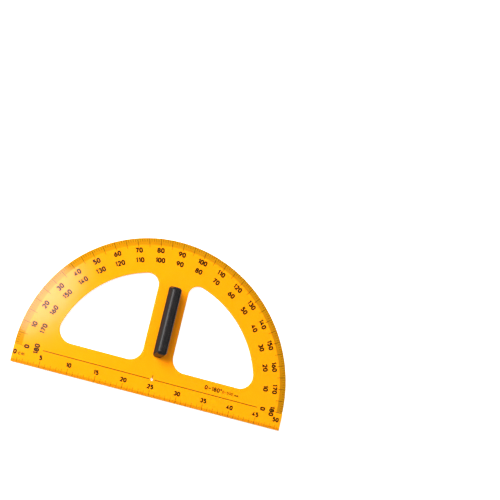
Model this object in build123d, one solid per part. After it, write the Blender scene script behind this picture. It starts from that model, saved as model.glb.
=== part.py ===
from build123d import *

import os
from math import hypot

# Large demonstration protractor for drawing on a classroom board.
#
# A translucent plastic plate carries everything: a half disc whose bevelled arc holds the degree
# scale, a rule strip below the baseline, two windows with a strut between them, and the small hole
# at the centre of the arc. A hollow grip stands on the strut and is held by two countersunk
# self-tapping screws driven from the back, so that the back stays flat against the board.
#
# Frame: millimetres. The origin is the centre of the arc on the back face, +X runs along the rule,
# +Y towards the top of the arc, and +Z out of the printed face.

# Plate
ARC_RADIUS = 250.0             # a 500 mm rule: the arc ends where the rule ends
RULE_STRIP = 31.0              # depth of the strip below the baseline
PLATE_THICKNESS = 4.0
PLATE_CORNER = 1.5             # lower corners, in plan
PLATE_EDGE = 0.5               # easing of the moulded edges
BEVEL_WIDTH = 12.5             # degree bevel, inwards from the arc
BEVEL_EDGE = 1.5               # thickness left at the arc
CENTRE_HOLE_RADIUS = 2.6

# Windows, one each side of the strut
WINDOW_RADIUS = 188.0
WINDOW_FOOT = 24.0             # lower edge above the baseline
STRUT_HALF_WIDTH = 28.0
WINDOW_FOOT_CORNER = 25.0      # beside the strut, below
WINDOW_OUTER_CORNER = 24.5     # at the outer end, below
WINDOW_TOP_CORNER = 19.0       # beside the strut, above

# Grip
GRIP_LENGTH = 130.0            # along the strut, where it stands on the plate
GRIP_TOP_LENGTH = 121.0
GRIP_WIDTH = 18.0
GRIP_HEIGHT = 28.0             # above the printed face
GRIP_CENTRE = 104.5            # its middle, above the baseline
GRIP_NOSE = 6.0                # rounding from the top into the sloping ends
GRIP_EDGE = 5.5                # rounding of the long edges and the upright ones
GRIP_WALL = 2.4
GRIP_INNER_EDGE = 3.1
RIB_THICKNESS = 1.6
RIB_PITCH = 16.0
RIB_COUNT = 3
RIB_CLEARANCE = 10.0           # gap left between the ribs and the plate
BOSS_RADIUS = 4.2
PILOT_DEPTH = 14.0

# Screws
SCREW_SPACING = 80.0
SCREW_LENGTH = 16.0
SCREW_HEAD_RADIUS = 3.75
SCREW_HEAD_SINK = 0.2          # head sits this far below the back face
SCREW_RIM = 0.3                # straight edge of the head above its cone
THREAD_RADIUS = 1.95
THREAD_ROOT = 1.4
THREAD_PITCH = 1.3
THREAD_COUNT = 8
SHANK_CLEARANCE = 0.15
RECESS_LENGTH = 4.2
RECESS_WIDTH = 1.0
RECESS_DEPTH = 1.7
RECESS_TAPER = 12.0

OVERCUT = 5.0                  # how far a cutter runs past the face that it opens

SCREWS = {
    "screw_lower": GRIP_CENTRE - SCREW_SPACING / 2,
    "screw_upper": GRIP_CENTRE + SCREW_SPACING / 2,
}


def plate_outline():
    """Half disc standing on the rule strip."""
    half_disc = Circle(ARC_RADIUS) & Rectangle(2 * ARC_RADIUS, ARC_RADIUS, align=(Align.CENTER, Align.MIN))
    strip = Rectangle(2 * ARC_RADIUS, RULE_STRIP, align=(Align.CENTER, Align.MAX))
    outline = half_disc + strip
    corners = outline.vertices().sort_by(Axis.Y)[:2]
    return fillet(corners, PLATE_CORNER)


def window_outline():
    """Right-hand window: a piece of a disc, cut square to the strut and the baseline."""
    beyond = Rectangle(WINDOW_RADIUS, WINDOW_RADIUS, align=(Align.MIN, Align.MIN))
    window = Circle(WINDOW_RADIUS) & Pos(STRUT_HALF_WIDTH, WINDOW_FOOT) * beyond
    corners = (
        ((STRUT_HALF_WIDTH, WINDOW_FOOT), WINDOW_FOOT_CORNER),
        ((WINDOW_RADIUS, WINDOW_FOOT), WINDOW_OUTER_CORNER),
        ((STRUT_HALF_WIDTH, WINDOW_RADIUS), WINDOW_TOP_CORNER),
    )
    for place, radius in corners:
        corner = window.vertices().sort_by_distance((*place, 0))[0]
        window = fillet(corner, radius)
    return window


def bevel_cutter():
    """What the degree bevel removes: a wedge turned about the centre hole from 0 to 180 degrees."""
    slope = (PLATE_THICKNESS - BEVEL_EDGE) / BEVEL_WIDTH
    inner = ARC_RADIUS - BEVEL_WIDTH - OVERCUT
    outer = ARC_RADIUS + OVERCUT
    top = PLATE_THICKNESS + slope * OVERCUT
    low = BEVEL_EDGE - slope * OVERCUT
    wedge = Polygon((inner, top), (outer, top), (outer, low), align=None)
    return revolve(Plane.XZ * wedge, axis=Axis.Z, revolution_arc=180)


def screw_seat(y):
    """Clearance hole and countersink for one screw, from the back face."""
    hole = Cylinder(THREAD_RADIUS + SHANK_CLEARANCE, 2 * PLATE_THICKNESS)
    cone_height = SCREW_HEAD_RADIUS - THREAD_RADIUS
    rim_top = SCREW_HEAD_SINK + SCREW_RIM
    base = (Align.CENTER, Align.CENTER, Align.MIN)
    cone = Pos(0, 0, rim_top) * Cone(SCREW_HEAD_RADIUS, THREAD_RADIUS, cone_height, align=base)
    pocket = Cylinder(SCREW_HEAD_RADIUS, 2 * rim_top)
    return Pos(0, y, 0) * (hole + cone + pocket)


def make_plate():
    """The sheet with its eased edges, bevel, windows and holes."""
    window = window_outline()
    sheet = plate_outline() - window - mirror(window, about=Plane.YZ)
    plate = extrude(sheet, PLATE_THICKNESS)
    faces = plate.faces().filter_by(Plane.XY)
    plate = fillet(faces.edges(), PLATE_EDGE)
    plate -= bevel_cutter()
    plate -= Cylinder(CENTRE_HOLE_RADIUS, 2 * PLATE_THICKNESS)
    for y in SCREWS.values():
        plate -= screw_seat(y)
    return plate


def grip_block(inset, edge):
    """The grip's outer shape, or the same shape moved inwards by inset with its foot left open."""
    height = GRIP_HEIGHT - inset
    slope = (GRIP_LENGTH - GRIP_TOP_LENGTH) / 2 / GRIP_HEIGHT
    foot = GRIP_LENGTH / 2 - inset * hypot(1, slope)
    top = foot - slope * height
    side = Polygon((-foot, 0), (foot, 0), (top, height), (-top, height), align=None)
    side = fillet(side.vertices().sort_by(Axis.Y)[-2:], GRIP_NOSE - inset)
    half_width = GRIP_WIDTH / 2 - inset
    block = extrude(Plane.YZ * side, half_width, both=True)
    flanks = block.faces().filter_by(Plane.YZ).edges()
    rounded = [line for line in flanks if line.center().Z > 0.1]
    return fillet(rounded, edge)


def grip_boss(y):
    """Screw boss from the foot to the ceiling, with webs that tie it to both side walls."""
    base = (Align.CENTER, Align.CENTER, Align.MIN)
    post = Cylinder(BOSS_RADIUS, GRIP_HEIGHT, align=base)
    web_height = GRIP_HEIGHT - RIB_CLEARANCE
    web = Pos(0, 0, RIB_CLEARANCE) * Box(GRIP_WIDTH, RIB_THICKNESS, web_height, align=base)
    pilot = Cylinder(THREAD_ROOT, PILOT_DEPTH, align=base)
    return Pos(0, y, 0) * (post + web - pilot)


def make_grip():
    """Hollow moulding, open below, standing on the strut with its ribs and bosses."""
    base = (Align.CENTER, Align.CENTER, Align.MIN)
    outer = grip_block(0, GRIP_EDGE)
    inside = Part()
    for index in range(RIB_COUNT):
        y = (index - (RIB_COUNT - 1) / 2) * RIB_PITCH
        rib = Box(GRIP_WIDTH, RIB_THICKNESS, GRIP_HEIGHT - RIB_CLEARANCE, align=base)
        inside += Pos(0, y, RIB_CLEARANCE) * rib
    for y in SCREWS.values():
        inside += grip_boss(y - GRIP_CENTRE)
    grip = outer - grip_block(GRIP_WALL, GRIP_INNER_EDGE) + (inside & outer)
    return Pos(0, GRIP_CENTRE, PLATE_THICKNESS) * grip


def screw_profile():
    """Half section of a screw from head to tip, with a ridge for every turn of its thread."""
    points = [
        (0, SCREW_HEAD_SINK),
        (SCREW_HEAD_RADIUS, SCREW_HEAD_SINK),
        (SCREW_HEAD_RADIUS, SCREW_HEAD_SINK + SCREW_RIM),
    ]
    neck = SCREW_HEAD_SINK + SCREW_RIM + SCREW_HEAD_RADIUS - THREAD_RADIUS
    points.append((THREAD_RADIUS, neck))
    points.append((THREAD_RADIUS, PLATE_THICKNESS))
    for turn in range(THREAD_COUNT):
        start = PLATE_THICKNESS + turn * THREAD_PITCH
        points.append((THREAD_ROOT, start + THREAD_PITCH / 3))
        points.append((THREAD_ROOT, start + THREAD_PITCH * 2 / 3))
        points.append((THREAD_RADIUS, start + THREAD_PITCH))
    points.append((THREAD_ROOT, PLATE_THICKNESS + (THREAD_COUNT + 1 / 3) * THREAD_PITCH))
    points.append((0, SCREW_LENGTH))
    return Polygon(*points, align=None)


def make_screw(y):
    """Countersunk self-tapping screw with a cross recess, its head facing the back."""
    screw = revolve(Plane.XZ * screw_profile(), axis=Axis.Z)
    cross = Rectangle(RECESS_LENGTH, RECESS_WIDTH) + Rectangle(RECESS_WIDTH, RECESS_LENGTH)
    recess = extrude(Pos(0, 0, SCREW_HEAD_SINK) * cross, RECESS_DEPTH, taper=RECESS_TAPER)
    return Pos(0, y, 0) * (screw - recess)


def main():
    os.makedirs("parts", exist_ok=True)
    export_step(make_plate(), "parts/plate.step")
    grip = make_grip()
    for name, y in SCREWS.items():
        screw = make_screw(y)
        grip -= screw
        export_step(screw, f"parts/{name}.step")
    export_step(grip, "parts/handle.step")


main()
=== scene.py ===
# %% [markdown]
# # A board protractor, finished in Blender
#
# The design of this large classroom protractor is already fixed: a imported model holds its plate, its
# handle and two screws at their real sizes. This lesson gives that model its looks. It loads the
# model, places the camera, makes one procedural material for each finish, prints the scales as thin
# ink and lights it all as a small studio would. Everything is in metres, with +Z pointing up out of
# the printed face. A millimetre is written MM, so that a length reads the way it is spoken.

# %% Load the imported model
import math

import bpy
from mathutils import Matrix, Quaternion, Vector


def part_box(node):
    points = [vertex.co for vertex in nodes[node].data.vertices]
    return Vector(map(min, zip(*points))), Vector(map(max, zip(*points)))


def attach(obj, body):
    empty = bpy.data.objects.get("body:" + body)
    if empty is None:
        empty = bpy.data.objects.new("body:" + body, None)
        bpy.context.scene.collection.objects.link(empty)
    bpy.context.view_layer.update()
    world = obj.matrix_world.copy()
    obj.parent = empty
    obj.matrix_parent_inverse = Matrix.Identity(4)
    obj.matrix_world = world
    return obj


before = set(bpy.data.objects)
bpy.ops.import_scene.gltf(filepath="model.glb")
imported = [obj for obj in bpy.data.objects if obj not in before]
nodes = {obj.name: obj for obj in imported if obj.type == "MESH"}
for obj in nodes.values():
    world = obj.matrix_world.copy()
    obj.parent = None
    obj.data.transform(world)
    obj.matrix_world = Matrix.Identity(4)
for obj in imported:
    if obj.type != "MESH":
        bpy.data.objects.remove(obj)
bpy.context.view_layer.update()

MM = 0.001

print("pieces in the packed model:", sorted(nodes))

# %% [markdown]
# ## Sizes come from the plate
#
# The print has to fit the plate, so its layout starts from the plate's box. The box says where the
# rule's edge is, how high the printed face lies, and how large the arc is, because the arc ends where
# the rule ends. The bevel is the thinned rim of the arc, where the degree marks come down to the
# board. It starts on the bevel line and falls by a fifth of its width.

# %% Sizes taken from the plate
plate_low, plate_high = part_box("plate")
ARC_RADIUS = plate_high.x
RULE_EDGE = plate_low.y
FACE = plate_high.z
BEVEL_WIDTH = 12.5 * MM
BEVEL_LINE = ARC_RADIUS - BEVEL_WIDTH
BEVEL_SLOPE = 0.2

print(f"arc radius {ARC_RADIUS / MM:.0f} mm, face {FACE / MM:.1f} mm above the back")

# %% [markdown]
# ## The camera
#
# A flat instrument explains itself best from above and a little from one side, so that the handle
# shows its height. The camera is set by five plain choices: the point it looks at, how far away it
# stands, from which side, how steeply it looks down, and how far it is rolled. A long lens from
# almost three metres keeps the arc close to a true half circle.

# %% Camera
CAMERA_AIM = Vector((120.2 * MM, 271.2 * MM, FACE))
CAMERA_DISTANCE = 2.887
CAMERA_AZIMUTH = math.radians(-56.3)
CAMERA_ELEVATION = math.radians(70.4)
CAMERA_ROLL = math.radians(71.1)
CAMERA_LENS = 115.2


def toward(azimuth, elevation):
    """Unit vector that points from the object to a place at this azimuth and elevation."""
    across = math.cos(elevation)
    return Vector((across * math.sin(azimuth), -across * math.cos(azimuth), math.sin(elevation)))


def add_to_scene(name, data):
    made = bpy.data.objects.new(name, data)
    bpy.context.scene.collection.objects.link(made)
    return made


def add_camera():
    """A camera that looks at its aim, turned about its own view axis by the roll."""
    back = toward(CAMERA_AZIMUTH, CAMERA_ELEVATION)
    camera = add_to_scene("camera", bpy.data.cameras.new("camera"))
    camera.data.lens = CAMERA_LENS
    camera.location = CAMERA_AIM + CAMERA_DISTANCE * back
    camera.rotation_mode = "QUATERNION"
    level = (-back).to_track_quat("-Z", "Y")
    camera.rotation_quaternion = level @ Quaternion((0, 0, 1), CAMERA_ROLL)
    bpy.context.scene.camera = camera
    return camera


camera = add_camera()
print("camera at", [round(value, 2) for value in camera.location])

# %% [markdown]
# ## Placing shader nodes
#
# A material is a small graph of nodes. Two helpers keep the recipes short enough to read: one adds a
# node and fills in its options and sockets, the other starts a node group with named inputs and
# outputs. A group is worth making for an effect that several finishes share.

# %% Helpers for node graphs
def place(tree, kind, values=None, **options):
    """Adds a node, sets its options, and gives its sockets values or links them to other sockets."""
    node = tree.nodes.new(kind)
    for option, value in options.items():
        setattr(node, option, value)
    for socket, value in (values or {}).items():
        if isinstance(value, bpy.types.NodeSocket):
            tree.links.new(value, node.inputs[socket])
        else:
            node.inputs[socket].default_value = value
    return node


def start_group(name, inputs, outputs):
    """A shader node group with float inputs, given with their defaults, and float outputs."""
    tree = bpy.data.node_groups.new(name, "ShaderNodeTree")
    for label, value in inputs.items():
        socket = tree.interface.new_socket(label, in_out="INPUT", socket_type="NodeSocketFloat")
        socket.default_value = value
    for label in outputs:
        tree.interface.new_socket(label, in_out="OUTPUT", socket_type="NodeSocketFloat")
    return tree, place(tree, "NodeGroupInput").outputs, place(tree, "NodeGroupOutput").inputs


def math_node(tree, operation, *values, clamp=False):
    """One step of arithmetic; returns its output socket."""
    return place(tree, "ShaderNodeMath", dict(enumerate(values)), operation=operation,
                 use_clamp=clamp).outputs[0]


def remap(tree, value, low, high, new_low=0.0, new_high=1.0):
    """Stretches the range low to high over new_low to new_high, and clamps at both ends."""
    limits = {"Value": value, "From Min": low, "From Max": high, "To Min": new_low, "To Max": new_high}
    return place(tree, "ShaderNodeMapRange", limits).outputs["Result"]


def own_place(tree):
    """The point's place in the object's own coordinates, in metres."""
    return place(tree, "ShaderNodeTexCoord").outputs["Object"]


def noise(tree, scale, detail, roughness=0.5):
    """Soft noise in the object's own coordinates, with this many lumps to a metre."""
    settings = {"Vector": own_place(tree), "Scale": scale, "Detail": detail, "Roughness": roughness}
    return place(tree, "ShaderNodeTexNoise", settings).outputs["Fac"]


def normal_part(tree, axis):
    """How much the surface faces along X, Y or Z, from -1 to 1."""
    normal = place(tree, "ShaderNodeNewGeometry").outputs["Normal"]
    return place(tree, "ShaderNodeSeparateXYZ", {0: normal}).outputs[axis]


def place_group(tree, group, values):
    """Places a shared group with its own values, and returns its outputs."""
    return place(tree, "ShaderNodeGroup", values, node_tree=group).outputs


print("node helpers ready")

# %% [markdown]
# ## Clouding
#
# Moulded plastic is never quite even. Pigment and thickness drift over tens of millimetres, so a very
# soft noise moves the colour a little either way. The mask could be painted by hand, but a noise has
# no seams and costs nothing to repeat. The same clouding also breaks up ink and plating, at its own
# scale in each.

# %% Clouding group
def make_clouding():
    tree, given, result = start_group("clouding", {"Patch size": 50 * MM, "Contrast": 1.0}, ["Mask"])
    scale = math_node(tree, "DIVIDE", 1.0, given["Patch size"])
    drift = noise(tree, scale, detail=3.0, roughness=0.55)
    centred = math_node(tree, "SUBTRACT", drift, 0.5)
    stretched = math_node(tree, "MULTIPLY", centred, given["Contrast"])
    tree.links.new(math_node(tree, "ADD", stretched, 0.5, clamp=True), result["Mask"])
    return tree


CLOUDING = make_clouding()
print("group", CLOUDING.name, "outputs", [item.name for item in CLOUDING.interface.items_tree])

# %% [markdown]
# ## Hairlines
#
# Sliding over a board leaves fine straight scratches. Noise that is stretched two hundred times along
# one direction turns into streaks, and only its rare peaks are kept: Amount lowers the level that a
# peak has to reach. Two sets that cross look like wear, while a single set would look like brushed
# metal.

# %% Hairlines group
STREAK = 200.0
STREAK_TURNS = (0.35, -1.1)
RAREST_PEAK = 0.85
PEAK_RANGE = 0.3
PEAK_SHARPNESS = 8.0


def streaks(tree, spacing, turn):
    """One set of parallel streaks, turned by this many radians about Z."""
    turned = place(tree, "ShaderNodeMapping", {"Vector": own_place(tree), "Rotation": (0, 0, turn)})
    stretch = {"Vector": turned.outputs[0], "Scale": (1 / STREAK, 1, 1)}
    stretched = place(tree, "ShaderNodeMapping", stretch).outputs[0]
    settings = {"Vector": stretched, "Scale": math_node(tree, "DIVIDE", 1.0, spacing), "Detail": 2.0}
    return place(tree, "ShaderNodeTexNoise", settings).outputs["Fac"]


def make_hairlines():
    tree, given, result = start_group("hairlines", {"Spacing": 1 * MM, "Amount": 0.3}, ["Mask"])
    one_way, other_way = [streaks(tree, given["Spacing"], turn) for turn in STREAK_TURNS]
    strongest = math_node(tree, "MAXIMUM", one_way, other_way)
    lowered = math_node(tree, "MULTIPLY", given["Amount"], PEAK_RANGE)
    kept = math_node(tree, "SUBTRACT", strongest, math_node(tree, "SUBTRACT", RAREST_PEAK, lowered))
    tree.links.new(math_node(tree, "MULTIPLY", kept, PEAK_SHARPNESS, clamp=True), result["Mask"])
    return tree


HAIRLINES = make_hairlines()
print("group", HAIRLINES.name, "ready")

# %% [markdown]
# ## Edges, for wear and for painted shade
#
# Hands and boards touch the corners of a thing first. The Bevel node answers with the normal that a
# rounded corner would have, and where that differs from the real normal there must be an edge nearby.
# Clouding breaks the line up, because no edge wears evenly. On the plate only the plain edge
# mask is used, for painted shade along the edges.

# %% Edge group
BEVEL_SAMPLES = 6
FLAT_TO_EDGE = (0.995, 0.90)
PATCH_CONTRAST = 4.0


def make_edge_wear():
    defaults = {"Reach": 1 * MM, "Patch size": 10 * MM}
    tree, given, result = start_group("edge_wear", defaults, ["Edge", "Worn"])
    rounded = place(tree, "ShaderNodeBevel", {"Radius": given["Reach"]}, samples=BEVEL_SAMPLES)
    true_normal = place(tree, "ShaderNodeNewGeometry").outputs["Normal"]
    both = {0: rounded.outputs["Normal"], 1: true_normal}
    likeness = place(tree, "ShaderNodeVectorMath", both, operation="DOT_PRODUCT").outputs["Value"]
    edge = remap(tree, likeness, *FLAT_TO_EDGE)
    settings = {"Patch size": given["Patch size"], "Contrast": PATCH_CONTRAST}
    patches = place_group(tree, CLOUDING, settings)["Mask"]
    tree.links.new(edge, result["Edge"])
    tree.links.new(math_node(tree, "MULTIPLY", edge, patches), result["Worn"])
    return tree


EDGE_WEAR_AND_SHADE = make_edge_wear()
print("group", EDGE_WEAR_AND_SHADE.name, "ready")

# %% [markdown]
# ## Dust
#
# A classroom is a chalky place, and a little dust lies on whatever faces up. The mask joins two
# things: how level the surface is, and a fine speckle.

# %% Dust group
STEEP_TO_LEVEL = (0.4, 0.95)
SPECK_RANGE = (0.56, 0.80)


def make_dust():
    tree, given, result = start_group("dust", {"Speck size": 1.5 * MM, "Amount": 0.5}, ["Mask"])
    level = remap(tree, normal_part(tree, "Z"), *STEEP_TO_LEVEL)
    scale = math_node(tree, "DIVIDE", 1.0, given["Speck size"])
    specks = remap(tree, noise(tree, scale, detail=4.0, roughness=0.7), *SPECK_RANGE)
    lying = math_node(tree, "MULTIPLY", specks, level)
    tree.links.new(math_node(tree, "MULTIPLY", lying, given["Amount"]), result["Mask"])
    return tree


DUST = make_dust()
print("group", DUST.name, "ready")

# %% [markdown]
# ## Starting a material
#
# Every finish ends in one Principled shader. The first helper below makes it with the values that are
# the same all over, and each recipe then links only what changes over the surface. The next four
# place a shared group by name, so that a recipe reads as a list of what the finish is made of, and
# the rest weigh and mix the masks.

# %% Material helpers
# The Mix node has sockets for numbers and for colours under the same names, so those for colours
# are picked by their place.
MIX_FACTOR, MIX_FIRST, MIX_SECOND, MIX_RESULT = 0, 6, 7, 2


def start_material(name, values):
    """A material with one Principled shader; returns it with its tree and the shader's inputs."""
    material = bpy.data.materials.new(name)
    material.use_nodes = True
    tree = material.node_tree
    tree.nodes.clear()
    shader = place(tree, "ShaderNodeBsdfPrincipled", values)
    place(tree, "ShaderNodeOutputMaterial", {"Surface": shader.outputs["BSDF"]})
    return material, tree, shader.inputs


def clouding(tree, patch_size, contrast):
    return place_group(tree, CLOUDING, {"Patch size": patch_size, "Contrast": contrast})["Mask"]


def hairlines(tree, spacing, amount):
    return place_group(tree, HAIRLINES, {"Spacing": spacing, "Amount": amount})["Mask"]


def edge_wear(tree, reach, patch_size):
    return place_group(tree, EDGE_WEAR_AND_SHADE, {"Reach": reach, "Patch size": patch_size})


def dusting(tree, speck_size, amount):
    return place_group(tree, DUST, {"Speck size": speck_size, "Amount": amount})["Mask"]


def share_of(tree, mask, share):
    return math_node(tree, "MULTIPLY", mask, share)


def add_share(tree, value, mask, share):
    """value, plus this share of the mask. A negative share takes away."""
    return math_node(tree, "ADD", value, share_of(tree, mask, share))


def spread(tree, mask, low, high):
    """low where the mask is 0 and high where it is 1."""
    return remap(tree, mask, 0.0, 1.0, low, high)


def blend_colours(tree, mask, first, second):
    """first where the mask is 0 and second where it is 1. Each is a colour or a colour socket."""
    values = {MIX_FACTOR: mask, MIX_FIRST: first, MIX_SECOND: second}
    return place(tree, "ShaderNodeMix", values, data_type="RGBA").outputs[MIX_RESULT]


def bump(tree, height, distance, strength, under=None):
    """A Bump node on a height socket, on top of another bump if one is given."""
    values = {"Height": height, "Distance": distance, "Strength": strength}
    if under is not None:
        values["Normal"] = under
    return place(tree, "ShaderNodeBump", values).outputs["Normal"]


print("material helpers ready")

# %% [markdown]
# ## The tinted plate
#
# The plate is yellow-orange plastic that glows a little where light gets into it. Light scatters
# inside, red furthest and blue hardly at all, which is why its shadows turn a deep orange instead of
# grey, so the shader has a subsurface share with a long red radius. The tint is clouded over the
# surface, and shade is painted into it: the bevel is painted darker, and the side walls and the edges
# are painted a darker, greener colour. A little dust pales it, and both dust and scratches dull the
# gloss.

# %% Tinted plastic
DEEP_TINT = (0.98, 0.282, 0.001, 1)
PALE_TINT = (0.98, 0.307, 0.001, 1)
# Painted shade: the bevel is coloured darker, as if less light fell on it.
BEVEL_PAINTED_SHADE = (0.47, 0.189, 0.001, 1)
# Painted shade: the side walls are coloured a darker olive.
WALL_PAINTED_SHADE = (0.45, 0.27, 0.02, 1)
# Painted shade: a darker, greener line along the plate's edges.
EDGE_PAINTED_SHADE = (0.45, 0.285, 0.02, 1)
DUSTY_TINT = (0.80, 0.46, 0.15, 1)
BEVEL_BLUR = 1.2 * MM
LEVEL_TO_WALL = (0.9, 0.3)


def plate_zone_masks(tree):
    """Masks for the bevel of the arc and for the side walls, where shade is painted, from place and
    normal alone.
    """
    spot = place(tree, "ShaderNodeSeparateXYZ", {0: own_place(tree)}).outputs
    flat = place(tree, "ShaderNodeCombineXYZ", {"X": spot["X"], "Y": spot["Y"]}).outputs[0]
    radius = place(tree, "ShaderNodeVectorMath", {0: flat}, operation="LENGTH").outputs["Value"]
    on_rim = remap(tree, radius, BEVEL_LINE - BEVEL_BLUR, BEVEL_LINE + BEVEL_BLUR)
    bevel = math_node(tree, "MULTIPLY", on_rim, math_node(tree, "GREATER_THAN", spot["Y"], 0.0))
    level = math_node(tree, "ABSOLUTE", normal_part(tree, "Z"))
    return bevel, remap(tree, level, *LEVEL_TO_WALL)


def make_tinted_plastic():
    material, tree, shader = start_material("tinted_plastic", {
        "IOR": 1.49,
        "Specular IOR Level": 0.2,
        "Subsurface Weight": 0.3,
        "Subsurface Radius": (1.0, 0.35, 0.06),
        "Subsurface Scale": 6 * MM,
    })
    bevel, wall = plate_zone_masks(tree)
    clouds = clouding(tree, patch_size=110 * MM, contrast=1.6)
    # The plain edge mask, used on the plate for painted shade, not for wear.
    edge = edge_wear(tree, reach=2.4 * MM, patch_size=20 * MM)["Edge"]
    dust = dusting(tree, speck_size=1.2 * MM, amount=0.15)
    scratch = hairlines(tree, spacing=1.1 * MM, amount=0.35)

    colour = blend_colours(tree, clouds, DEEP_TINT, PALE_TINT)
    # Painted shade: the bevel is darkened in the colour.
    colour = blend_colours(tree, bevel, colour, BEVEL_PAINTED_SHADE)
    # Painted shade: the side walls are darkened in the colour.
    colour = blend_colours(tree, share_of(tree, wall, 0.85), colour, WALL_PAINTED_SHADE)
    # Painted shade: the edges are darkened in the colour.
    colour = blend_colours(tree, share_of(tree, edge, 0.75), colour, EDGE_PAINTED_SHADE)
    colour = blend_colours(tree, dust, colour, DUSTY_TINT)
    tree.links.new(colour, shader["Base Color"])

    roughness = spread(tree, clouds, 0.07, 0.11)
    roughness = add_share(tree, roughness, scratch, 0.10)
    roughness = add_share(tree, roughness, dust, 0.5)
    tree.links.new(roughness, shader["Roughness"])

    ripple = bump(tree, noise(tree, scale=90.0, detail=1.0), distance=0.04 * MM, strength=0.6)
    scratched = bump(tree, scratch, distance=0.01 * MM, strength=0.3, under=ripple)
    tree.links.new(scratched, shader["Normal"])
    return material


TINTED_PLASTIC = make_tinted_plastic()
print("material", TINTED_PLASTIC.name, "has", len(TINTED_PLASTIC.node_tree.nodes), "nodes")

# %% [markdown]
# ## The black handle
#
# The handle is black plastic, polished on top and finely grained on its flanks, where the fingers
# hold it. Black gloss lives from what it mirrors, so the roughness is low on top and slightly uneven,
# a faint ripple bends the highlights, and the edges are a little duller where hands have rubbed them.
# The flanks are told from the top by their normals, which point sideways.

# %% Black plastic
DEEP_BLACK = (0.007, 0.007, 0.008, 1)
FADED_BLACK = (0.012, 0.011, 0.011, 1)
RUBBED_BLACK = (0.040, 0.038, 0.036, 1)
DUSTY_BLACK = (0.30, 0.28, 0.24, 1)
TOP_TO_FLANK = (0.85, 0.97)


def make_black_plastic():
    material, tree, shader = start_material("black_plastic", {"IOR": 1.52, "Specular IOR Level": 0.14})
    clouds = clouding(tree, patch_size=18 * MM, contrast=2.0)
    worn = edge_wear(tree, reach=1.5 * MM, patch_size=6 * MM)["Worn"]
    dust = dusting(tree, speck_size=0.9 * MM, amount=0.22)
    scratch = hairlines(tree, spacing=0.6 * MM, amount=0.45)
    flank = remap(tree, math_node(tree, "ABSOLUTE", normal_part(tree, "X")), *TOP_TO_FLANK)

    colour = blend_colours(tree, clouds, DEEP_BLACK, FADED_BLACK)
    colour = blend_colours(tree, share_of(tree, worn, 0.5), colour, RUBBED_BLACK)
    colour = blend_colours(tree, dust, colour, DUSTY_BLACK)
    tree.links.new(colour, shader["Base Color"])

    roughness = spread(tree, clouds, 0.20, 0.28)
    roughness = add_share(tree, roughness, flank, 0.65)
    roughness = add_share(tree, roughness, scratch, 0.15)
    roughness = add_share(tree, roughness, worn, 0.12)
    tree.links.new(roughness, shader["Roughness"])

    grain = math_node(tree, "MULTIPLY", noise(tree, scale=2200.0, detail=1.0), flank)
    ripple = bump(tree, noise(tree, scale=260.0, detail=1.0), distance=0.03 * MM, strength=0.7)
    grained = bump(tree, grain, distance=0.06 * MM, strength=0.8, under=ripple)
    scratched = bump(tree, scratch, distance=0.01 * MM, strength=0.3, under=grained)
    tree.links.new(scratched, shader["Normal"])
    return material


BLACK_PLASTIC = make_black_plastic()
print("material", BLACK_PLASTIC.name, "has", len(BLACK_PLASTIC.node_tree.nodes), "nodes")

# %% [markdown]
# ## Plated screws
#
# The screws are zinc-plated steel. A metal takes its whole colour from reflection, so Metallic is one
# everywhere. The plating drifts between bluish and straw, it is duller in patches, and the rim of the
# head and the cross recess are polished where a driver and a board have touched them.

# %% Screw steel
BLUISH_ZINC = (0.52, 0.53, 0.55, 1)
STRAW_ZINC = (0.62, 0.58, 0.47, 1)
POLISHED_ZINC = (0.80, 0.79, 0.77, 1)


def make_screw_steel():
    material, tree, shader = start_material("screw_steel", {"Metallic": 1.0})
    clouds = clouding(tree, patch_size=3 * MM, contrast=3.0)
    worn = edge_wear(tree, reach=0.3 * MM, patch_size=2 * MM)["Worn"]
    scratch = hairlines(tree, spacing=0.2 * MM, amount=0.6)

    colour = blend_colours(tree, clouds, BLUISH_ZINC, STRAW_ZINC)
    tree.links.new(blend_colours(tree, worn, colour, POLISHED_ZINC), shader["Base Color"])

    roughness = add_share(tree, spread(tree, clouds, 0.26, 0.44), worn, -0.12)
    tree.links.new(roughness, shader["Roughness"])
    tree.links.new(bump(tree, scratch, distance=0.01 * MM, strength=0.5), shader["Normal"])
    return material


SCREW_STEEL = make_screw_steel()
print("material", SCREW_STEEL.name, "has", len(SCREW_STEEL.node_tree.nodes), "nodes")

# %% [markdown]
# ## Scale ink
#
# The scales are printed in dark brown ink, which is about as glossy as the plastic around it. Where
# the film is thin the plate shines through, so clouding at the size of a pen stroke lightens the
# brown a little, and the scratches bring back some of the orange.

# %% Ink
DARK_BROWN = (0.018, 0.007, 0.001, 1)
THIN_BROWN = (0.038, 0.016, 0.001, 1)
SCRATCHED_BROWN = (0.30, 0.11, 0.002, 1)


def make_scale_ink():
    material, tree, shader = start_material("scale_ink", {"IOR": 1.45, "Specular IOR Level": 0.2})
    clouds = clouding(tree, patch_size=2.2 * MM, contrast=2.6)
    scratch = hairlines(tree, spacing=1.1 * MM, amount=0.5)
    colour = blend_colours(tree, clouds, DARK_BROWN, THIN_BROWN)
    colour = blend_colours(tree, share_of(tree, scratch, 0.5), colour, SCRATCHED_BROWN)
    tree.links.new(colour, shader["Base Color"])
    tree.links.new(spread(tree, clouds, 0.09, 0.16), shader["Roughness"])
    tree.links.new(bump(tree, clouds, distance=0.01 * MM, strength=0.4), shader["Normal"])
    return material


SCALE_INK = make_scale_ink()
print("material", SCALE_INK.name, "has", len(SCALE_INK.node_tree.nodes), "nodes")

# %% [markdown]
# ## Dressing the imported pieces
#
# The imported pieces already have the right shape, so they only change their finish. Their meshes stay
# untouched: a shape that was wrong would be mended in the design, not here.

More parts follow.
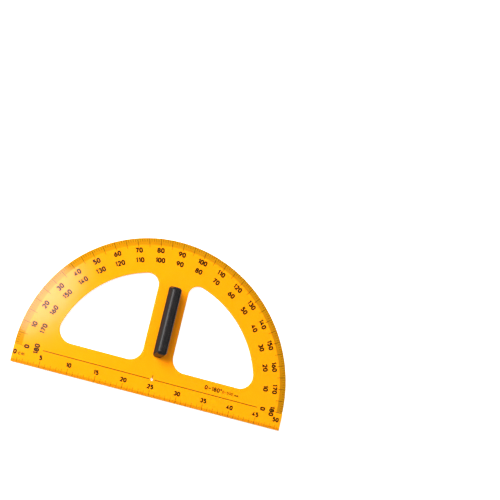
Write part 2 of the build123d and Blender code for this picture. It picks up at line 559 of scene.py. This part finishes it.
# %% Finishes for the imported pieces
FINISHES = {
    "plate": TINTED_PLASTIC,
    "handle": BLACK_PLASTIC,
    "screw_lower": SCREW_STEEL,
    "screw_upper": SCREW_STEEL,
}

for name, finish in FINISHES.items():
    slots = nodes[name].data.materials
    slots.clear()
    slots.append(finish)
    print(name, "->", finish.name)

# %% [markdown]
# ## A pen that prints
#
# Ink has almost no thickness, but a real one is enough to catch the light and to keep the marks apart
# from the plate. Each mark is a closed ribbon: its top stands a twentieth of a millimetre above the
# plate and its foot is sunk about a tenth into it. The pen follows the plate's surface, so
# marks that run out to the arc bend down over the bevel. Strokes take turns in four thin layers, so
# that where two of them cross, their tops do not share a plane.

# %% Pressing strokes onto the plate
INK_HEIGHT = 0.05 * MM
INK_DEPTH = 0.05 * MM
INK_LAYER = 0.006 * MM
INK_LAYERS = 4
SHARPEST_MITRE = 1.7
# The marks of 0 and 180 degrees lie on the baseline, and y may be rounded to just below it.
ON_BASELINE = -1e-6
# A cross-section has four corners: left top, left foot, right top and right foot. The pairs below
# are the ribbon's top, its foot and its two sides.
CORNERS = 4
RIBBON_SIDES = ((0, 2), (3, 1), (2, 3), (1, 0))


def surface_height(x, y):
    """How high the plate's printed surface lies at this place, on its face or on its bevel."""
    past_line = math.hypot(x, y) - BEVEL_LINE
    if past_line > 0 and y > ON_BASELINE:
        return FACE - BEVEL_SLOPE * past_line
    return FACE


def stroke_sides(points, width, closed):
    """The left and right edge of a pen stroke along points, mitred at its corners."""
    count = len(points)
    sides = []
    for index, point in enumerate(points):
        before = points[index - 1] if index > 0 or closed else point
        after = points[(index + 1) % count] if index < count - 1 or closed else point
        arriving, leaving = (point - before).normalized(), (after - point).normalized()
        along = (arriving + leaving).normalized()
        across = Vector((-along.y, along.x))
        reach = max((leaving if leaving.length else arriving).dot(along), 1 / SHARPEST_MITRE)
        sides.append((point + across * (width / 2 / reach), point - across * (width / 2 / reach)))
    return sides


class Print:
    """Gathers ink strokes that will become one piece. Strokes that cross lie one on the other."""

    def __init__(self):
        self.vertices = []
        self.faces = []
        self.layer = 0

    def stroke(self, points, width, closed=False):
        """A closed ribbon along points, each a 2D vector on the plate."""
        first = len(self.vertices)
        self.layer = (self.layer + 1) % INK_LAYERS
        lift = INK_HEIGHT + self.layer * INK_LAYER
        for left, right in stroke_sides(points, width, closed):
            for side in (left, right):
                height = surface_height(side.x, side.y)
                self.vertices.append((side.x, side.y, height + lift))
                self.vertices.append((side.x, side.y, height - INK_DEPTH - lift))
        count = len(points)
        for index in range(count if closed else count - 1):
            self.join(first + CORNERS * index, first + CORNERS * ((index + 1) % count))
        if not closed:
            last = first + CORNERS * (count - 1)
            self.faces.append((first, first + 1, first + 3, first + 2))
            self.faces.append((last, last + 2, last + 3, last + 1))

    def join(self, here, there):
        """Top, foot and both sides between two cross-sections."""
        for a, b in RIBBON_SIDES:
            self.faces.append((here + a, here + b, there + b, there + a))

    def finish(self, name):
        """Makes the piece, which rides on the plate's body and is in the ink's slot."""
        mesh = bpy.data.meshes.new(name)
        mesh.from_pydata(self.vertices, [], self.faces)
        mesh.materials.append(SCALE_INK)
        piece = add_to_scene(name, mesh)
        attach(piece, "root")
        print(f"{name}: {len(self.faces)} faces")


print("the pen writes in", SCALE_INK.name)

# %% [markdown]
# ## Degree marks
#
# A protractor this size is read across a room. There is a mark for every degree, longer ones for every
# five and every ten, and all of them start just inside the thin rim of the bevel. The marks for the
# odd fives run a little further in, because no number stands in their way.

# %% Degree marks
HALF_TURN = 180
RIM_GAP = 0.4 * MM
# For each step in degrees, the length and the width of its marks.
DEGREE_MARKS = {
    1: (6.5 * MM, 0.42 * MM),
    5: (17.0 * MM, 0.70 * MM),
    10: (15.0 * MM, 0.75 * MM),
}


def polar(radius, degrees):
    """A point of the arc, counted clockwise from the left end of the baseline."""
    turn = math.radians(HALF_TURN - degrees)
    return Vector((radius * math.cos(turn), radius * math.sin(turn)))


def print_degree_marks():
    ink = Print()
    outer = ARC_RADIUS - RIM_GAP
    for degree in range(HALF_TURN + 1):
        step = max(size for size in DEGREE_MARKS if degree % size == 0)
        length, width = DEGREE_MARKS[step]
        stops = [outer, BEVEL_LINE, ARC_RADIUS - length]
        if length <= BEVEL_WIDTH:
            stops = [outer, ARC_RADIUS - length]
        ink.stroke([polar(radius, degree) for radius in stops], width)
    ink.finish("degree_marks")


print_degree_marks()

# %% [markdown]
# ## Rule marks
#
# The rule along the straight edge counts millimetres. Five lengths of mark would be one too many to
# read, so there are four: every millimetre, every five, every centimetre, and a longer one where a
# number stands.

# %% Rule marks
RULE_LENGTH = 2 * ARC_RADIUS
RULE_GAP = 0.6 * MM
# For each step in millimetres, how far its marks reach from the edge, and their width.
RULE_MARKS = {
    1: (5.0 * MM, 0.28 * MM),
    5: (6.6 * MM, 0.36 * MM),
    10: (8.6 * MM, 0.60 * MM),
    50: (11.6 * MM, 0.80 * MM),
}


def print_rule_marks():
    ink = Print()
    for count in range(1, round(RULE_LENGTH / MM)):
        step = max(size for size in RULE_MARKS if count % size == 0)
        reach, width = RULE_MARKS[step]
        x = count * MM - ARC_RADIUS
        ink.stroke([Vector((x, RULE_EDGE + RULE_GAP)), Vector((x, RULE_EDGE + reach))], width)
    ink.finish("rule_marks")


print_rule_marks()

# %% [markdown]
# ## Drawing the numerals
#
# The numerals are the plain upright ones of technical drawing, each drawn with a pen of constant
# width. Writing them as strokes keeps them crisp at any size and needs no font file. They live on a
# grid that is ten units high, and round stretches are arcs, so a digit is only one or two lines of
# code. A nine is a six turned over.

# %% Numeral strokes
SIGN_HEIGHT = 10
SIGN_GAP = 3.9
DIGIT_WIDTH = 6
ARC_STEP = 15


def arc(x, y, rx, ry, start, end):
    """Points along an ellipse about (x, y), from one angle to another in degrees."""
    count = max(1, round(abs(end - start) / ARC_STEP))
    angles = [math.radians(start + (end - start) * index / count) for index in range(count + 1)]
    return [(x + rx * math.cos(angle), y + ry * math.sin(angle)) for angle in angles]


def ring(x, y, rx, ry):
    """A whole ellipse, without its last point, which would repeat the first."""
    return arc(x, y, rx, ry, 90, 450)[:-1]


SIX_TAIL = [(4.3, 10), (0.55, 4.74)]
SIX_LOOP = ring(3, 3, 3, 3)


def turned_over(points):
    """The same strokes turned half round, which makes a nine of a six."""
    return [(DIGIT_WIDTH - x, SIGN_HEIGHT - y) for x, y in points]


# Each sign: its width, its open strokes, and its closed ones.
SIGNS = {
    "0": (6.0, [], [arc(3, 7, 3, 3, 0, 180) + arc(3, 3, 3, 3, 180, 360)]),
    "1": (2.6, [[(0.3, 7.7), (2.6, 10), (2.6, 0)]], []),
    "2": (6.0, [arc(3, 7.1, 2.9, 2.9, 165, -35) + [(0.2, 0), (6, 0)]], []),
    "3": (6.0, [arc(3, 7.6, 2.6, 2.4, 160, -90), arc(3, 2.6, 3, 2.6, 90, -160)], []),
    "4": (6.0, [[(6, 2.7), (0, 2.7), (3.9, 10)], [(4.4, 5.0), (4.4, 0)]], []),
    "5": (6.0, [[(5.5, 10), (1, 10), (0.7, 5.0)], arc(2.9, 3.05, 3, 3.05, 138, -150)], []),
    "6": (6.0, [SIX_TAIL], [SIX_LOOP]),
    "7": (6.0, [[(0, 10), (6, 10), (2.2, 0)]], []),
    "8": (6.0, [], [ring(3, 7.6, 2.5, 2.4), ring(3, 2.75, 3, 2.75)]),
    "9": (6.0, [turned_over(SIX_TAIL)], [turned_over(SIX_LOOP)]),
    "c": (4.6, [arc(2.7, 2.9, 2.7, 2.9, 50, 310)], []),
    "m": (6.6, [[(0, 0), (0, 5.8)], arc(1.65, 4, 1.65, 1.8, 180, 0) + [(3.3, 0)],
                arc(4.95, 4, 1.65, 1.8, 180, 0) + [(6.6, 0)]], []),
    "-": (7.0, [[(0, 4.8), (7.0, 4.8)]], []),
    "°": (2.4, [], [ring(1.2, 8.6, 1.2, 1.2)]),
    " ": (1.5, [], []),
}


def write(ink, text, centre, upright, height, weight, signs_height=SIGN_HEIGHT):
    """Writes text about centre, with its tops towards the unit vector upright."""
    unit = (height - weight) / SIGN_HEIGHT
    rightward = Vector((upright.y, -upright.x))
    start = -(sum(SIGNS[sign][0] for sign in text) + SIGN_GAP * (len(text) - 1)) / 2
    for sign in text:
        width, lines, loops = SIGNS[sign]
        for stroke, closed in [(line, False) for line in lines] + [(loop, True) for loop in loops]:
            points = [
                centre + rightward * ((start + x) * unit) + upright * ((y - signs_height / 2) * unit)
                for x, y in stroke
            ]
            ink.stroke(points, weight, closed)
        start += width + SIGN_GAP


print("signs that can be written:", "".join(SIGNS))

# %% [markdown]
# ## Degree numbers
#
# Two rows of numbers let the angle be read from either end: the outer row counts clockwise and the
# inner row the other way. Every number stands with its top towards the arc.

# %% Degree numbers
DEGREE_HEIGHT = 9.7 * MM
DEGREE_WEIGHT = 2.6 * MM
DEGREES_NUMBERED = 10
# For each row, its radius and the number that it gives a degree.
NUMBER_ROWS = {
    "degree_numbers_outer": (228.4 * MM, lambda degree: degree),
    "degree_numbers_inner": (211.0 * MM, lambda degree: HALF_TURN - degree),
}

for name, (radius, reading) in NUMBER_ROWS.items():
    ink = Print()
    for degree in range(0, HALF_TURN + 1, DEGREES_NUMBERED):
        text = str(reading(degree))
        write(ink, text, polar(radius, degree), polar(1.0, degree), DEGREE_HEIGHT, DEGREE_WEIGHT)
    ink.finish(name)

# %% [markdown]
# ## Rule numbers
#
# The rule is numbered every five centimetres. Its first and last number would run off the corners, so
# they are moved inwards, and a small unit stands beside the nought.

# %% Rule numbers
CENTIMETRE = 10 * MM
RULE_HEIGHT = 8.6 * MM
RULE_WEIGHT = 2.35 * MM
RULE_ROW = -13.0 * MM
CENTIMETRES_NUMBERED = 5
MOVED_INWARDS = {0: 4.0 * MM, 50: -10.8 * MM}
UNIT_PLACE = Vector((15.5 * MM - ARC_RADIUS, -14.6 * MM))
UNIT_HEIGHT = 7.6 * MM
UNIT_WEIGHT = 1.15 * MM
LOWER_CASE = 5.8
NORTH = Vector((0, 1))

ink = Print()
for number in range(0, round(RULE_LENGTH / CENTIMETRE) + 1, CENTIMETRES_NUMBERED):
    x = number * CENTIMETRE - ARC_RADIUS + MOVED_INWARDS.get(number, 0)
    write(ink, str(number), Vector((x, RULE_ROW)), NORTH, RULE_HEIGHT, RULE_WEIGHT)
write(ink, "cm", UNIT_PLACE, NORTH, UNIT_HEIGHT, UNIT_WEIGHT, LOWER_CASE)
ink.finish("rule_numbers")

# %% [markdown]
# ## Baseline and range
#
# The baseline runs between the end numbers of the inner row. It is left open round the centre hole,
# and a short tick points at the hole from above. A line of small print to the right of the strut
# states the range of the scale and the length of the rule.

# %% Baseline and range
BASELINE_END = 199.5 * MM
BASELINE_WIDTH = 1.25 * MM
HOLE_GAP = 4.6 * MM
TICK = (3.4 * MM, 7.8 * MM)
# For each piece of small print, its place, its height and its weight.
SMALL_PRINT = {
    "0-180°": (Vector((113 * MM, 11.2 * MM)), 8.0 * MM, 1.8 * MM),
    "0-500 mm": (Vector((146 * MM, 10.7 * MM)), 5.0 * MM, 0.9 * MM),
}

ink = Print()
for side in (-1, 1):
    ink.stroke([Vector((side * HOLE_GAP, 0)), Vector((side * BASELINE_END, 0))], BASELINE_WIDTH)
ink.stroke([Vector((0, height)) for height in TICK], BASELINE_WIDTH)
ink.finish("baseline")

ink = Print()
for text, (centre, height, weight) in SMALL_PRINT.items():
    write(ink, text, centre, NORTH, height, weight)
ink.finish("range_line")

# %% [markdown]
# ## The floor
#
# The plate lies on a white floor, with the smallest gap between them. The floor also glows a little,
# but only the camera sees that: it keeps the floor white without lighting the plate from below.

# %% Floor
WHITE = (1, 1, 1, 1)
FLOOR_GREYS = ((0.88, 0.88, 0.88, 1), (0.90, 0.90, 0.90, 1))
FLOOR_HALF = 30.0
FLOOR_GAP = 0.02 * MM
FLOOR_GLOW = 0.55


def add_floor():
    near, far = -FLOOR_HALF, FLOOR_HALF
    corners = [(near, near), (far, near), (far, far), (near, far)]
    mesh = bpy.data.meshes.new("floor")
    mesh.from_pydata([(x, y, -FLOOR_GAP) for x, y in corners], [], [(0, 1, 2, 3)])
    material, tree, shader = start_material("studio_floor", {"Roughness": 0.8, "Emission Color": WHITE})
    seen = place(tree, "ShaderNodeLightPath").outputs["Is Camera Ray"]
    tree.links.new(share_of(tree, seen, FLOOR_GLOW), shader["Emission Strength"])
    clouds = clouding(tree, patch_size=300 * MM, contrast=1.0)
    tree.links.new(blend_colours(tree, clouds, *FLOOR_GREYS), shader["Base Color"])
    mesh.materials.append(material)
    floor = add_to_scene("floor", mesh)
    print("floor laid, with the finish", material.name)


add_floor()

# %% [markdown]
# ## The sun and a side panel
#
# One soft sun from the upper left draws the handle's shadow across the strut. A weaker panel on the
# same side makes the left end of the plate a little brighter than the right. Neither of them shows in
# reflections, so their places can be chosen for light and shadow alone.

# %% Sun and side panel
KEY_FROM = (math.radians(-129), math.radians(41))
KEY_STRENGTH = 3.14
KEY_SOFTNESS = math.radians(34)
PANEL_FROM = Vector((-1.30, 0.35, 0.90))
PANEL_AT = Vector((-0.1, 0.1, 0))
PANEL_SIZE = (0.60, 0.60)
PANEL_POWER = 26.0


def aim(light, place_from, place_at):
    light.location = place_from
    light.rotation_mode = "QUATERNION"
    light.rotation_quaternion = (place_at - place_from).to_track_quat("-Z", "Y")


def add_area_light(name, shape, size, power):
    light = add_to_scene(name, bpy.data.lights.new(name, "AREA"))
    light.data.shape = shape
    light.data.size, light.data.size_y = size
    light.data.energy = power
    return light


def add_sun():
    sun = add_to_scene("key_sun", bpy.data.lights.new("key_sun", "SUN"))
    sun.data.energy = KEY_STRENGTH
    sun.data.angle = KEY_SOFTNESS
    sun.visible_glossy = False
    aim(sun, toward(*KEY_FROM), Vector())


def add_side_panel():
    panel = add_area_light("side_panel", "SQUARE", PANEL_SIZE, PANEL_POWER)
    panel.visible_glossy = False
    aim(panel, PANEL_FROM, PANEL_AT)


add_sun()
add_side_panel()
print("lights for the shadows:", [item.name for item in bpy.data.lights])

# %% [markdown]
# ## Lights for the gloss
#
# Gloss has lights of its own, which leave the matt part of every surface alone. A tall strip shines
# along the handle's rounded edge, and it is linked to the handle only, because the plate would mirror
# it as well. Two overhead panels lay a pale sheen on the plate's left shoulder, one by way of the
# face and one by way of the bevel. Each hangs where the surface mirrors it to the camera, which is
# worked out from the camera's place and the surface's normal.

# %% Strip and sheens
STRIP_FROM = Vector((-1.0, 0.23, 0.62))
STRIP_SIZE = (0.5, 1.0)
STRIP_RADIANCE = 12.5
SHEEN_HEIGHT = 2.0
SHEEN_TINT = (1.0, 0.82, 0.86)
# For each sheen: where it is seen, how steeply the surface falls there, its size, its radiance.
FACE_SHEEN = (polar(245 * MM, 24), 0.0, (0.16, 0.28), 21.0)
BEVEL_SHEEN = (polar(242 * MM, 22), BEVEL_SLOPE, (0.40, 0.70), 17.0)


def power_for(radiance, area):
    """The power that gives an area light this radiance."""
    return radiance * math.pi * area


def add_grip_strip():
    """A tall strip at the left, seen only in the gloss of the handle."""
    handle_low, handle_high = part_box("handle")
    width, height = STRIP_SIZE
    power = power_for(STRIP_RADIANCE, width * height)
    strip = add_area_light("grip_strip", "RECTANGLE", STRIP_SIZE, power)
    strip.visible_diffuse = False
    lit = bpy.data.collections.new("lit_by_grip_strip")
    lit.objects.link(nodes["handle"])
    strip.light_linking.receiver_collection = lit
    aim(strip, STRIP_FROM, (handle_low + handle_high) / 2)


def mirrored_in(point, normal, height):
    """Where the camera's view of a point, mirrored by a surface with this normal, meets a height."""
    view = (camera.location - point).normalized()
    ray = 2 * normal.dot(view) * normal - view
    return point + ray * ((height - point.z) / ray.z)


def add_sheen(name, spot, slope, size, radiance):
    """An overhead panel just where a surface that slopes outwards mirrors it to the camera."""
    width, length = size
    power = power_for(radiance, math.pi / 4 * width * length)
    sheen = add_area_light(name, "ELLIPSE", size, power)
    sheen.data.color = SHEEN_TINT
    sheen.visible_diffuse = False
    outward = spot.to_3d().normalized()
    normal = (Vector((0, 0, 1)) + slope * outward).normalized()
    sheen.location = mirrored_in(Vector((spot.x, spot.y, FACE)), normal, SHEEN_HEIGHT)
    sheen.rotation_euler = (0, 0, math.atan2(outward.y, outward.x))


add_grip_strip()
add_sheen("face_sheen", *FACE_SHEEN)
add_sheen("bevel_sheen", *BEVEL_SHEEN)
print("all lights:", [item.name for item in bpy.data.lights])

# %% [markdown]
# ## The world
#
# The world is white for the camera and an even fill for the shadows. In reflections it is dimmer,
# with walls that are brighter than the ceiling, so that the gloss keeps its contrast.

# %% World
CAMERA_WHITE = 1.1
FILL_STRENGTH = 0.62
WALL_STRENGTH = 0.42
CEILING_STRENGTH = 0.12
WALL_TO_CEILING = (0.05, 0.70)


def add_world():
    world = bpy.data.worlds.new("studio")
    world.use_nodes = True
    tree = world.node_tree
    tree.nodes.clear()
    path = place(tree, "ShaderNodeLightPath").outputs
    upward = place(tree, "ShaderNodeTexCoord").outputs["Generated"]
    height = place(tree, "ShaderNodeSeparateXYZ", {0: upward}).outputs["Z"]
    mirrored = remap(tree, height, *WALL_TO_CEILING, WALL_STRENGTH, CEILING_STRENGTH)
    difference = math_node(tree, "SUBTRACT", mirrored, FILL_STRENGTH)
    gloss = math_node(tree, "MULTIPLY", path["Is Glossy Ray"], difference)
    plain = spread(tree, path["Is Camera Ray"], FILL_STRENGTH, CAMERA_WHITE)
    strength = math_node(tree, "ADD", gloss, plain)
    background = place(tree, "ShaderNodeBackground", {"Color": WHITE, "Strength": strength})
    place(tree, "ShaderNodeOutputWorld", {"Surface": background.outputs[0]})
    bpy.context.scene.world = world


add_world()
bpy.context.scene.view_settings.view_transform = "Standard"
print("world:", bpy.context.scene.world.name)
